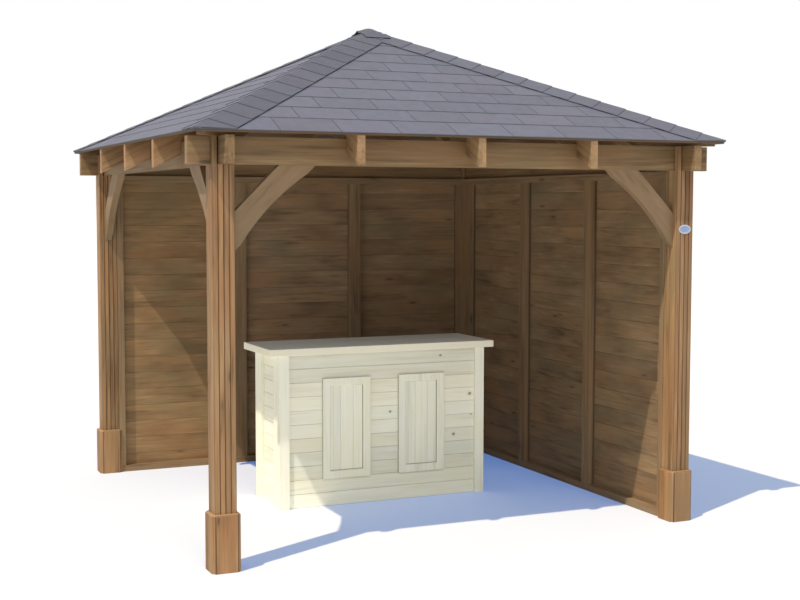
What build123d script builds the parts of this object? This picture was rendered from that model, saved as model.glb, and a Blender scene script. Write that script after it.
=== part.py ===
from build123d import *
import os
from math import cos, radians, sqrt, tan

# An open garden bar: a square pavilion on four laminated posts, boarded on its back
# and right sides, with a hipped roof, and a boarded bar counter standing inside it.
# Millimetres. The origin is on the ground at the middle of the plan. Front is -Y,
# right is +X and up is +Z.

# Plan and posts
plan = 3000.0            # over the outer faces of the corner posts, both ways
post_board = 30.0        # thickness of one lamination of a post
post_boards = 4          # laminations in a post
slot_boards = 2          # middle laminations cut away at the head to take the beams
groove_width = 7.0       # V joint between two laminations
groove_depth = 5.0
post_edge = 4.0          # eased edge of a post

# Boxed foot of a post
skirt_thick = 20.0
skirt_height = 312.0
skirt_chamfer = 22.0
skirt_round = 12.0

# Beams
beam_z = 2139.0          # underside of the beams
beam_depth = 145.0
beam_thick = 50.0
beam_out = 120.0         # beam end beyond the outer face of a post
lap_gap = 0.5            # side play of the half laps where the beams cross

# Braces
brace_thick = 45.0
brace_width = 145.0
brace_leg = 255.0        # corner to the straight edge, along the post and the beam
brace_nose = 42.0        # straight run before the arch starts
brace_arch = 28.0        # depth of the arched edge

# Roof timbers
pitch = 25.0             # degrees
rafter_thick = 45.0
rafter_depth = 145.0
rafter_out = 120.0       # rafter tail beyond the outer face of a post
rafter_gap = 1.0         # play of the trench over the beam
rafter_bays = 4          # equal bays between the beam centre lines
hip_thick = 45.0
hip_depth = 145.0
hip_out = 85.0           # tail of a hip rafter beyond the outer faces of its post
boss_width = 130.0       # eight-sided boss at the peak, across its flats
boss_drop = 30.0         # boss below the underside of the rafters

# Roof covering
deck_thick = 12.0
deck_out = 125.0         # eave of the roof boards beyond the outer face of a post
shingle_thick = 5.0
shingle_out = 130.0
cap_thick = 8.0
cap_out = 133.0
cap_wide = 168.0         # hip cap from the hip line, on the slope to the right of the hip
cap_narrow = 133.0       # hip cap from the hip line, on the slope to the left of the hip
cap_joint = 2.0          # open joint between two neighbouring hip caps
peak_thick = 4.0         # strip folded over the peak, lying on the hip caps
peak_width = 175.0
peak_reach = 160.0       # middle of the plan to either end of the strip

# Boarded walls
wall_frame = 45.0        # depth of the studs and rails, flush with the posts inside
wall_board = 18.0
stud_width = 45.0        # end studs and rails
mid_stud_width = 86.0    # studs where two panels meet
back_corner_stud = 45.0
right_corner_stud = 150.0    # stud and filler between the last panel and the post
wall_panels = 3

# Bar counter
bar_width = 1445.0
bar_depth = 490.0
bar_body = 982.0         # height of the body under the top
bar_front = 267.5        # front of the body ahead of the middle of the plan
top_thick = 45.0
top_side = 66.0          # overhangs of the top
top_front = 14.0
top_back = 42.0
top_edge = 4.0
corner_thick = 20.0
corner_front = 65.0      # corner board on the front and the back
corner_side = 120.0      # corner board on the ends
clad_thick = 16.0
bar_rail = 45.0
shelf_thick = 18.0
shelf_z = 480.0          # upper face of the shelf
panel_width = 327.0
panel_foot = 177.0       # ground to the framed panels
panel_head = 156.0       # framed panels to the underside of the top
panel_spacing = 528.0    # middle to middle
panel_border = 46.0
panel_thick = 20.0
panel_recess = 9.0
panel_bevel = 4.0

# Values that follow from those above
post = post_board * post_boards
slot = post_board * slot_boards
half = plan / 2
centre = half - post / 2
inner = half - post
beam_top = beam_z + beam_depth
slope = tan(radians(pitch))
along = cos(radians(pitch))
tail = half + rafter_out
hip_tail = half + hip_out
eave_length = 2 * (half + cap_out)
tall = 2 * beam_z
panel_height = bar_body - panel_foot - panel_head

SIDES = {"front": 0, "right": 90, "back": 180, "left": 270}
CORNERS = {"front_left": (-1, -1), "front_right": (1, -1), "back_left": (-1, 1), "back_right": (1, 1)}


def block(x0, x1, y0, y1, z0, z1):
    """A box between two values on each axis."""
    size = (abs(x1 - x0), abs(y1 - y0), abs(z1 - z0))
    return Pos((x0 + x1) / 2, (y0 + y1) / 2, (z0 + z1) / 2) * Box(*size)


def turned(shape, side):
    """A piece drawn on the front side, turned about the upright axis to another side."""
    return Rot(0, 0, SIDES[side]) * shape


def roof_z(distance, layer=0.0):
    """Height of the rafters' upper face at a distance from the middle, plus the layers
    on it, given as their thickness square to the slope."""
    rafter_top = beam_z + rafter_depth / along
    return rafter_top + (tail - distance) * slope + layer / along


def upright_profile(points, thick):
    """A profile of (distance to the front, height) points, thick mm wide about x = 0."""
    outline = Polyline(*[(0, -d, z) for d, z in points], close=True)
    return extrude(make_face(outline), amount=thick / 2, dir=(1, 0, 0), both=True)


def roof_layer(low, high, out):
    """A sloping slab over the whole width of the front side, between two layer heights."""
    points = [(0, roof_z(0, low)), (half + out, roof_z(half + out, low)),
              (half + out, roof_z(half + out, high)), (0, roof_z(0, high))]
    return upright_profile(points, eave_length)


def front_sector(offset=0.0):
    """The plan wedge of the front side, set back from the diagonals by an offset on Y."""
    reach = eave_length
    outline = Polyline((0, -offset), (reach, -offset - reach), (-reach, -offset - reach), close=True)
    return extrude(make_face(outline), amount=tall)


def roof_slope(low, high, out):
    """One slope of a roof layer, mitred along both hips."""
    return roof_layer(low, high, out) & front_sector()


def above_rafters():
    """The space over the rafters' upper plane on the front side."""
    return roof_layer(0, 4 * rafter_depth, rafter_out + deck_out)


# Posts and their boxed feet

def post_section():
    """Square section with V joints between the laminations, on the front and the back."""
    section = Rectangle(post, post)
    section = chamfer(section.vertices(), post_edge)
    for joint in range(1, post_boards):
        x = -post / 2 + joint * post_board
        for face in (-1, 1):
            y = face * post / 2
            cut = Polyline((x - groove_width / 2, y), (x + groove_width / 2, y), (x, y - face * groove_depth),
                           close=True)
            section -= make_face(cut)
    return section


def corner_post(corner):
    """A post whose head is slotted both ways, so that four corner fingers hold the beams."""
    sx, sy = CORNERS[corner]
    body = extrude(post_section(), amount=beam_top)
    for across in (0, 90):
        body -= Rot(0, 0, across) * block(-post, post, -slot / 2, slot / 2, beam_z, tall)
    return Pos(sx * centre, sy * centre, 0) * body


def skirt(corner):
    """The boxed foot of a post, cut away where a boarded wall reaches the post."""
    sx, sy = CORNERS[corner]
    outer = post + 2 * skirt_thick
    section = chamfer(Rectangle(outer, outer).vertices(), skirt_chamfer)
    body = extrude(section, amount=skirt_height)
    top = body.faces().sort_by(Axis.Z)[-1]
    body = fillet(top.edges(), skirt_round)
    body -= block(-post / 2, post / 2, -post / 2, post / 2, 0, skirt_height)
    body = Pos(sx * centre, sy * centre, 0) * body
    wall = inner + wall_frame + wall_board
    if corner == "back_right":
        body -= block(0, wall, 0, wall, 0, skirt_height)
    if corner == "back_left":
        body -= block(-inner, 0, inner, wall, 0, skirt_height)
    if corner == "front_right":
        body -= block(inner, wall, -inner, 0, 0, skirt_height)
    return body


# Beams and braces

def beam(side):
    """A beam along one side. Front and back beams lap over the beams of the other two."""
    reach = half + beam_out
    body = block(-reach, reach, -centre - beam_thick / 2, -centre + beam_thick / 2, beam_z, beam_top)
    middle = (beam_z + beam_top) / 2
    low, high = (beam_z, middle) if side in ("front", "back") else (middle, beam_top)
    notch = beam_thick / 2 + lap_gap
    for sx in (-1, 1):
        body -= block(sx * centre - notch, sx * centre + notch, -half, -inner, low, high)
    return turned(body, side)


def brace():
    """An arched brace in the angle of a post and a beam: u along the beam, v down the post."""
    long_leg = brace_leg + brace_width * sqrt(2)
    inset = long_leg / 2 - brace_arch / sqrt(2)
    straight = Polyline((long_leg - brace_nose, -brace_nose), (long_leg, 0), (brace_leg, 0),
                        (0, -brace_leg), (0, -long_leg), (brace_nose, -long_leg + brace_nose))
    arch = ThreePointArc((brace_nose, -long_leg + brace_nose), (inset, -inset),
                         (long_leg - brace_nose, -brace_nose))
    return extrude(make_face(Curve() + [straight, arch]), amount=brace_thick / 2, both=True)


def placed_brace(corner, along_x):
    """A brace at a corner post, under the beam along X or under the beam along Y."""
    sx, sy = CORNERS[corner]
    body = Rot(90, 0, 0) * brace()
    if along_x:
        body = body if sx < 0 else mirror(body, about=Plane.YZ)
        return Pos(sx * inner, sy * centre, beam_z) * body
    body = Rot(0, 0, 90) * body
    body = body if sy < 0 else mirror(body, about=Plane.XZ)
    return Pos(sx * centre, sy * inner, beam_z) * body


# Roof timbers

def rafter(x):
    """A rafter trenched over the beam, with a plumb-cut tail. Jacks end on the hips."""
    boss = boss_width / 2
    drop = rafter_depth / along
    trench = beam_thick / 2 + rafter_gap
    points = [(tail, beam_z), (tail, roof_z(tail)), (boss, roof_z(boss)), (boss, roof_z(boss) - drop),
              (centre - trench, roof_z(centre - trench) - drop), (centre - trench, beam_top),
              (centre + trench, beam_top), (centre + trench, roof_z(centre + trench) - drop)]
    body = Pos(x, 0, 0) * upright_profile(points, rafter_thick)
    return body & front_sector(hip_thick / sqrt(2))


def rafters(side):
    """The three rafters of one side: one to the peak and a jack each side of it."""
    spacing = 2 * centre / rafter_bays
    pieces = [rafter((bay - rafter_bays / 2) * spacing) for bay in range(1, rafter_bays)]
    return Compound([turned(piece, side).solid() for piece in pieces])


def hip_rafter(corner):
    """A hip rafter, backed to both slopes, with a level seat over the crossing beams
    that runs out to a thin tail at the corner of the eave."""
    run = sqrt(2)
    boss = boss_width / 2
    drop = hip_depth / along
    seat = inner * run
    points = [(hip_tail * run, beam_top), (hip_tail * run, roof_z(hip_tail)), (boss, roof_z(boss / run)),
              (boss, roof_z(boss / run) - drop), (seat, roof_z(inner) - drop), (seat, beam_top)]
    body = Rot(0, 0, 45) * upright_profile(points, hip_thick)
    for side in ("front", "right"):
        body -= turned(above_rafters(), side)
    turns = {"front_right": 0, "back_right": 90, "back_left": 180, "front_left": 270}
    return Rot(0, 0, turns[corner]) * body


def peak_boss():
    """The eight-sided boss that the hips and the long rafters meet."""
    low = roof_z(boss_width / 2) - rafter_depth / along - boss_drop
    octagon = RegularPolygon(boss_width / 2, 8, major_radius=False, rotation=22.5)
    body = Pos(0, 0, low) * extrude(octagon, amount=roof_z(0) - low)
    for side in SIDES:
        body -= turned(above_rafters(), side)
    return body


# Roof covering

def hip_cap():
    """The folded cap over the front right hip, narrow on the front and wide on the right."""
    low = deck_thick + shingle_thick
    in_plan = sqrt(1 + along ** 2) / sqrt(2)
    reach = eave_length
    strip = Rot(0, 0, -45) * block(0, reach, -cap_narrow * in_plan, cap_wide * in_plan, 0, tall)
    strip &= block(cap_joint / 2, reach, -reach, -cap_joint / 2, 0, tall)
    layer = roof_slope(low, low + cap_thick, cap_out)
    return (turned(layer, "front") & strip) + (turned(layer, "right") & strip)


def hip_caps():
    """The four hip caps, with an open joint between neighbours."""
    cap = hip_cap()
    return Compound([turned(cap, side).solid() for side in SIDES])


def peak_cap():
    """A strip folded over the peak, down the front and the back, that stands open at its sides."""
    low = deck_thick + shingle_thick + cap_thick
    strip = block(-peak_width / 2, peak_width / 2, -peak_reach, 0, 0, tall)
    front = roof_layer(low, low + peak_thick, cap_out) & strip
    return front + turned(front, "back")


# Boarded walls

def wall_framing(corner_stud):
    """Rails and studs of a wall on the back side, between the inner faces of two posts.
    Its equal panels start at the right-hand post and end on a corner stud at the other."""
    panel = (2 * inner + stud_width - corner_stud) / wall_panels
    front = inner
    back = inner + wall_frame
    body = block(-inner, inner, front, back, 0, stud_width)
    body += block(-inner, inner, front, back, beam_z - stud_width, beam_z)
    body += block(inner - stud_width, inner, front, back, 0, beam_z)
    for joint in range(1, wall_panels):
        x = inner - joint * panel
        body += block(x - mid_stud_width / 2, x + mid_stud_width / 2, front, back, 0, beam_z)
    body += block(-inner, corner_stud - inner, front, back, 0, beam_z)
    return body


def wall_boarding():
    """The boarding outside the frame of the back wall."""
    return block(-inner, inner, inner + wall_frame, inner + wall_frame + wall_board, 0, beam_z)


# Bar counter

bar_x = bar_width / 2
bar_y0 = -bar_front
bar_y1 = bar_y0 + bar_depth


def bar_top():
    """The counter top, with eased edges."""
    body = block(-bar_x - top_side, bar_x + top_side, bar_y0 - top_front, bar_y1 + top_back,
                 bar_body, bar_body + top_thick)
    return fillet(body.edges(), top_edge)


def bar_corner_boards():
    """Four corner pieces, each a front board and a side board that meet in an angle."""
    angle = Polyline((0, 0), (corner_front, 0), (corner_front, corner_thick), (corner_thick, corner_thick),
                     (corner_thick, corner_side), (0, corner_side), close=True)
    front_left = Pos(-bar_x, bar_y0, 0) * extrude(make_face(angle), amount=bar_body)
    back_left = mirror(front_left, about=Plane.XZ.offset(-(bar_y0 + bar_y1) / 2))
    left = [front_left, back_left]
    return Compound([piece.solid() for piece in left + [mirror(piece, about=Plane.YZ) for piece in left]])


def bar_boards():
    """Boarding on the front and on both ends, behind the corner boards."""
    face_x = bar_x - corner_thick
    face_y = bar_y0 + corner_thick
    back_y = bar_y1 - corner_thick
    front = block(-face_x, face_x, face_y, face_y + clad_thick, 0, bar_body)
    ends = [block(sx * face_x, sx * (face_x - clad_thick), face_y + clad_thick, back_y, 0, bar_body)
            for sx in (-1, 1)]
    return front + ends


def bar_frame():
    """Four uprights tied by rails at the foot, under the shelf and under the top."""
    x = bar_x - corner_thick - clad_thick
    y0 = bar_y0 + corner_thick + clad_thick
    y1 = bar_y1 - corner_thick
    body = Solid() + []
    for sx in (-1, 1):
        for y, toward in ((y0, 1), (y1, -1)):
            body += block(sx * x, sx * (x - bar_rail), y, y + toward * bar_rail, 0, bar_body)
        for z in (bar_rail, shelf_z - shelf_thick, bar_body):
            body += block(sx * x, sx * (x - bar_rail), y0, y1, z - bar_rail, z)
    for z in (bar_rail, shelf_z - shelf_thick, bar_body):
        body += block(-x, x, y0, y0 + bar_rail, z - bar_rail, z)
    for z in (shelf_z - shelf_thick, bar_body):
        body += block(-x, x, y1 - bar_rail, y1, z - bar_rail, z)
    return body


def bar_shelf():
    """One shelf between the uprights, on the front and back rails."""
    x = bar_x - corner_thick - clad_thick - bar_rail
    return block(-x, x, bar_y0 + corner_thick + clad_thick, bar_y1 - corner_thick,
                 shelf_z - shelf_thick, shelf_z)


def bar_panels():
    """Two framed panels on the front, each with a bevelled border round a sunk field."""
    face_y = bar_y0 + corner_thick
    pieces = []
    for sx in (-1, 1):
        x = sx * panel_spacing / 2
        piece = block(x - panel_width / 2, x + panel_width / 2, face_y - panel_thick, face_y,
                      panel_foot, panel_foot + panel_height)
        middle = panel_foot + panel_height / 2
        field = Plane(origin=(x, face_y - panel_thick, middle), x_dir=(1, 0, 0), z_dir=(0, -1, 0))
        wide = panel_width - 2 * panel_border
        high = panel_height - 2 * panel_border
        piece -= extrude(field * Rectangle(wide, high), amount=-panel_recess)
        piece -= loft([field * Rectangle(wide + 2 * panel_bevel, high + 2 * panel_bevel),
                       field.offset(-panel_bevel) * Rectangle(wide, high)])
        pieces.append(piece.solid())
    return Compound(pieces)


def all_pieces():
    """Every sub-part by name."""
    pieces = {}
    for corner in CORNERS:
        pieces["post_" + corner] = corner_post(corner)
        pieces["post_skirt_" + corner] = skirt(corner)
        pieces["hip_rafter_" + corner] = hip_rafter(corner)
    for side in SIDES:
        pieces["beam_" + side] = beam(side)
        pieces["rafters_" + side] = rafters(side)
        pieces["roof_boards_" + side] = turned(roof_slope(0, deck_thick, deck_out), side)
        pieces["shingles_" + side] = turned(roof_slope(deck_thick, deck_thick + shingle_thick, shingle_out), side)
    pieces["brace_front_left"] = placed_brace("front_left", True)
    pieces["brace_front_right"] = placed_brace("front_right", True)
    pieces["brace_left_front"] = placed_brace("front_left", False)
    pieces["brace_left_back"] = placed_brace("back_left", False)
    pieces["peak_boss"] = peak_boss()
    pieces["hip_caps"] = hip_caps()
    pieces["peak_cap"] = peak_cap()
    pieces["back_wall_frame"] = wall_framing(back_corner_stud)
    pieces["back_wall_boards"] = wall_boarding()
    pieces["right_wall_frame"] = Rot(0, 0, -90) * wall_framing(right_corner_stud)
    pieces["right_wall_boards"] = Rot(0, 0, -90) * wall_boarding()
    pieces["bar_top"] = bar_top()
    pieces["bar_corner_boards"] = bar_corner_boards()
    pieces["bar_boards"] = bar_boards()
    pieces["bar_frame"] = bar_frame()
    pieces["bar_shelf"] = bar_shelf()
    pieces["bar_panels"] = bar_panels()
    return pieces


os.makedirs("parts", exist_ok=True)
for name, piece in all_pieces().items():
    export_step(piece, "parts/" + name + ".step")
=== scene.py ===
import random
from math import ceil, cos, pi, radians, sin, tan

import bmesh
import bpy
from mathutils import Matrix, Vector


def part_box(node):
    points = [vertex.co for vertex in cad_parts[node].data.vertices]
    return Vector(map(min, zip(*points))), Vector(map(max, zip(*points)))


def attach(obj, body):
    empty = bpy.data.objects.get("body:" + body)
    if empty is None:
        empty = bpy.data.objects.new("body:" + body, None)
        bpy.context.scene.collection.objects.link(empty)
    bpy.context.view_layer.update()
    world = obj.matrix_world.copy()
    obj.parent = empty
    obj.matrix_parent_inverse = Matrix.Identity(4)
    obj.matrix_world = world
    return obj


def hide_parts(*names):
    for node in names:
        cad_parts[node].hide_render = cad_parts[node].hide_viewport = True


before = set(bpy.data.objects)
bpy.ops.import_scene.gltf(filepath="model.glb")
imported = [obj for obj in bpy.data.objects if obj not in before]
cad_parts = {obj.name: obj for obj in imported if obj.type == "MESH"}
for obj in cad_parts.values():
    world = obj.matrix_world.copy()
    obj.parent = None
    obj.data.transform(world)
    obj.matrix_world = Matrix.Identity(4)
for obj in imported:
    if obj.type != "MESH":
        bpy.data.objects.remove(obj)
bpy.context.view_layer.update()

bl_info = {
    "name": "Garden bar",
    "version": (1, 0, 0),
    "blender": (4, 5, 0),
    "location": "View3D > Sidebar > Garden bar",
    "description": "Boards, shingles, finishes and stage of a timber garden bar",
    "category": "Object",
}

# Metres, with front at -Y, right at +X and up at +Z, as in the solid model.
PITCH = radians(25)
POST_OUT = -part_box("post_front_left")[0].x
POST_IN = -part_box("post_front_left")[1].x
POST_BOARD = 0.030
FRAME_RAIL = 0.045
BAR_BOARD = 0.016
PANEL_WIDTH = 0.327
PANEL_BEAD = 0.005
BEAM_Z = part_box("beam_front")[0].z
DECK_OUT = -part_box("roof_boards_front")[0].y
DECK_THICK = 0.012
SHINGLE_OUT = -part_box("shingles_front")[0].y
SHINGLE_THICK = 0.005
FELT_THICK = 0.0014
CAP_OUT = -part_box("hip_caps")[0].y
CAP_THICK = 0.008
SIDES = {"front": 0.0, "right": pi / 2, "back": pi, "left": -pi / 2}
CORNERS = {"front_right": 0.0, "back_right": pi / 2, "back_left": pi, "front_left": -pi / 2}
ALONG_X = Vector((1, 0, 0))
ALONG_Y = Vector((0, 1, 0))
UP = Vector((0, 0, 1))
NEAR = 1e-4
ALIGNED = 0.9


def rafter_top(distance):
    """Height of the rafters' upper plane at a distance from the middle of the plan."""
    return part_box("roof_boards_front")[0].z + (DECK_OUT - distance) * tan(PITCH)


# Modelling

def deselect():
    bpy.ops.object.select_all(action="DESELECT")


def activate(piece):
    """Selects one piece alone and makes it the active one."""
    deselect()
    piece.select_set(True)
    bpy.context.view_layer.objects.active = piece


def edit(piece, kind="VERT", chosen=None):
    """Enters edit mode with the elements of one kind that a test chooses, or with all."""
    activate(piece)
    bpy.ops.object.mode_set(mode="EDIT")
    bpy.ops.mesh.select_mode(type=kind)
    bpy.ops.mesh.select_all(action="DESELECT" if chosen else "SELECT")
    if chosen:
        mesh = bmesh.from_edit_mesh(piece.data)
        for item in {"VERT": mesh.verts, "EDGE": mesh.edges, "FACE": mesh.faces}[kind]:
            item.select_set(bool(chosen(item)))
        mesh.select_flush_mode()
        bmesh.update_edit_mesh(piece.data)


def leave():
    bpy.ops.object.mode_set(mode="OBJECT")


def settle(piece):
    """Puts a piece's place, turn and scale into its mesh."""
    activate(piece)
    bpy.ops.object.transform_apply(location=True, rotation=True, scale=True)


def place(piece, location, turn=(0, 0, 0)):
    """Turns and moves a piece, and puts both into its mesh."""
    piece.rotation_euler = turn
    piece.location = location
    settle(piece)


def named(piece, name):
    piece.name = piece.data.name = name
    return piece


def cuboid(name, low, high):
    """A cube primitive between two corners."""
    deselect()
    bpy.ops.mesh.primitive_cube_add(size=1, location=(Vector(low) + Vector(high)) / 2)
    piece = named(bpy.context.object, name)
    piece.scale = Vector(high) - Vector(low)
    settle(piece)
    return piece


def sheet(name, low, high, across, along):
    """A flat grid between two corners."""
    deselect()
    middle = (Vector(low) + Vector(high)) / 2
    bpy.ops.mesh.primitive_grid_add(x_subdivisions=across, y_subdivisions=along, size=1,
                                    location=(*middle, 0))
    piece = named(bpy.context.object, name)
    piece.scale = (high[0] - low[0], high[1] - low[1], 1)
    settle(piece)
    return piece


def bevel(piece, width, chosen):
    """Bevels the edges that a test chooses."""
    edit(piece, "EDGE", chosen)
    bpy.ops.mesh.bevel(offset=width, offset_type="OFFSET", segments=1, affect="EDGES")
    leave()


def fold(piece, angle):
    """Folds a flat piece along X, both halves down by an angle."""
    for sign in (-1, 1):
        edit(piece, "VERT", lambda v: v.co.y * sign > NEAR)
        bpy.ops.transform.rotate(value=sign * angle, orient_axis="X", orient_type="GLOBAL",
                                 center_override=(0, 0, 0))
        leave()


def thicken(piece, thick, side):
    """Gives a sheet its thickness, on its upper side for 1 and on its lower side for -1."""
    solid = piece.modifiers.new("thickness", "SOLIDIFY")
    solid.thickness = thick
    solid.offset = side
    solid.use_even_offset = True
    activate(piece)
    bpy.ops.object.modifier_apply(modifier=solid.name)


def plank(name, length, width, thick, joint):
    """A board along X, lying from the origin up Y and Z, with its long edges bevelled by half
    a joint. Its attribute seam is 1 at the bottom of the joints and 0 on its faces."""
    board = cuboid(name, (0, 0, 0), (length, width, thick))
    bevel(board, joint / 2, lambda e: abs(e.verts[0].co.x - e.verts[1].co.x) > NEAR)
    on_edge = [float(min(v.co.y, width - v.co.y) < NEAR) for v in board.data.vertices]
    seam = board.data.attributes.new("seam", "FLOAT", "POINT")
    seam.data.foreach_set("value", on_edge)
    return board


def twin(piece, location=(0, 0, 0), turn=(0, 0, 0)):
    """A copy of a piece with its own mesh, turned and moved."""
    other = piece.copy()
    other.data = piece.data.copy()
    bpy.context.collection.objects.link(other)
    matrix = Matrix.Translation(location)
    for angle, axis in zip(reversed(turn), "ZYX"):
        matrix = matrix @ Matrix.Rotation(angle, 4, axis)
    other.data.transform(matrix)
    return other


def mark(piece, name, shares):
    """Gives a whole piece the same three numbers under a name."""
    layer = piece.data.attributes.new(name, "FLOAT_VECTOR", "POINT")
    layer.data.foreach_set("vector", list(shares) * len(piece.data.vertices))


def stamp(piece, draw, shares=None):
    """Gives a board three shares of its own, from which its finish takes tone and figure."""
    mark(piece, "board", shares or [draw.random() for _ in range(3)])


def chart(piece):
    """Keeps each point's place in the flat piece, for a finish that follows its edges."""
    layer = piece.data.attributes.new("chart", "FLOAT_VECTOR", "POINT")
    layer.data.foreach_set("vector", [number for v in piece.data.vertices for number in v.co])


def joined(pieces, name):
    """Joins pieces into one mesh."""
    activate(pieces[0])
    for piece in pieces:
        piece.select_set(True)
    bpy.ops.object.join()
    return named(bpy.context.object, name)


def cut(piece, point, normal):
    """Cuts away what lies beyond a plane and closes the cut."""
    beyond = [(v.co - Vector(point)).dot(Vector(normal)) for v in piece.data.vertices]
    if not beyond or max(beyond) < NEAR:
        return
    edit(piece)
    bpy.ops.mesh.bisect(plane_co=point, plane_no=normal, use_fill=True, clear_outer=True)
    leave()


def discard(*pieces):
    for piece in pieces:
        bpy.data.objects.remove(piece)


def hand_in(piece, slot, material, *nodes):
    """Gives a finished piece its material and its body, and hides the nodes that it stands for. Its slot
    is not used.
    """
    piece.data.materials.clear()
    piece.data.materials.append(material)
    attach(piece, "root")
    if nodes:
        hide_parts(*nodes)


# Shader graphs

class Wire:
    """An output of a node. Sums and products with it add Math nodes."""

    def __init__(self, graph, socket):
        self.graph = graph
        self.socket = socket

    def maths(self, operation, *values):
        return self.graph.node("ShaderNodeMath", {"operation": operation}, dict(enumerate(values)))

    def __add__(self, other):
        return self.maths("ADD", self, other)

    __radd__ = __add__

    def __mul__(self, other):
        return self.maths("MULTIPLY", self, other)

    __rmul__ = __mul__

    def __sub__(self, other):
        return self.maths("SUBTRACT", self, other)

    def __rsub__(self, other):
        return self.maths("SUBTRACT", other, self)

    def size(self):
        return self.maths("ABSOLUTE", self)

    def most(self, other):
        return self.maths("MAXIMUM", self, other)

    def above(self, limit):
        return self.maths("GREATER_THAN", self, limit)

    def between(self, low, high):
        return self.above(low) - self.above(high)

    def wave(self, reach):
        return self.maths("PINGPONG", self, reach)

    def step(self, low, high):
        """0 at one value, 1 at the other, and a smooth step between them."""
        return self.graph.node("ShaderNodeMapRange", {"interpolation_type": "SMOOTHSTEP"},
                               {0: self, 1: low, 2: high, 3: 0.0, 4: 1.0})


class Graph:
    """A node tree in which every node is made by one method."""

    def __init__(self, tree):
        self.tree = tree

    def feed(self, socket, value):
        if isinstance(value, Wire):
            self.tree.links.new(value.socket, socket)
        else:
            socket.default_value = value

    def node(self, kind, settings, sockets, output=0):
        made = self.tree.nodes.new(kind)
        for key, value in settings.items():
            setattr(made, key, value)
        for key, value in sockets.items():
            self.feed(made.inputs[key], value)
        return Wire(self, made.outputs[output])

    def seen(self):
        """1 for rays of the camera, of gloss and of glass."""
        path = self.node("ShaderNodeLightPath", {}, {}).socket.node
        camera, gloss, glass = [Wire(self, path.outputs["Is " + kind + " Ray"])
                                for kind in ("Camera", "Glossy", "Transmission")]
        return camera.most(gloss).most(glass)


class Finish(Graph):
    """A procedural material on object coordinates in metres."""

    def __init__(self, name):
        self.material = bpy.data.materials.new(name)
        self.material.use_nodes = True
        super().__init__(self.material.node_tree)
        self.shader = self.tree.nodes["Principled BSDF"]
        self.here = self.node("ShaderNodeTexCoord", {}, {}, "Object")

    def vector(self, operation, first, second):
        return self.node("ShaderNodeVectorMath", {"operation": operation}, {0: first, 1: second})

    def parts(self, vector):
        """The three numbers of a vector."""
        split = self.node("ShaderNodeSeparateXYZ", {}, {0: vector}).socket.node
        return [Wire(self, output) for output in split.outputs]

    def normal(self):
        """The three numbers of the surface's direction."""
        return self.parts(self.node("ShaderNodeTexCoord", {}, {}, "Normal"))

    def along(self, grain):
        """The place of a point, turned so that a grain direction lies on X."""
        turn = grain.rotation_difference(ALONG_X).to_euler("XYZ")
        return self.node("ShaderNodeMapping", {}, {"Vector": self.here, "Rotation": turn})

    def attribute(self, name, output="Vector"):
        return self.node("ShaderNodeAttribute", {"attribute_name": name}, {}, output)

    def oval(self, centre, half_length, half_height):
        """Distance from a place over X and Z, which is 1 on an oval of the given size."""
        stretch = Vector((1 / half_length, 0.0, 1 / half_height))
        return self.node("ShaderNodeVectorMath", {"operation": "DISTANCE"}, {
            0: self.vector("MULTIPLY", self.here, stretch), 1: centre * stretch}, "Value")

    def noise(self, vector, scale, detail=2.0, roughness=0.5, distortion=0.0):
        """Noise in a vector that is first stretched by a scale on each axis."""
        return self.node("ShaderNodeTexNoise", {}, {
            "Vector": self.vector("MULTIPLY", vector, scale), "Scale": 1.0, "Detail": detail,
            "Roughness": roughness, "Distortion": distortion})

    def mixed(self, share, first, second):
        return self.node("ShaderNodeMix", {"data_type": "RGBA"}, {0: share, 6: first, 7: second}, 2)

    def scaled(self, colour, share):
        """A colour made darker or lighter by a number."""
        return self.node("ShaderNodeVectorMath", {"operation": "SCALE"}, {0: colour, "Scale": share})

    def dye(self, colour, share=1.0):
        return (*[number * share for number in colour], 1.0)

    def shade(self, sockets):
        """Feeds or sets sockets of the shader."""
        for name, value in sockets.items():
            self.feed(self.shader.inputs[name], value)

    def done(self, colour, roughness, height, relief):
        bump = self.node("ShaderNodeBump", {}, {"Height": height, "Distance": relief, "Strength": 0.6})
        self.shade({"Base Color": colour, "Roughness": roughness, "Normal": bump})
        return self.material


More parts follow.
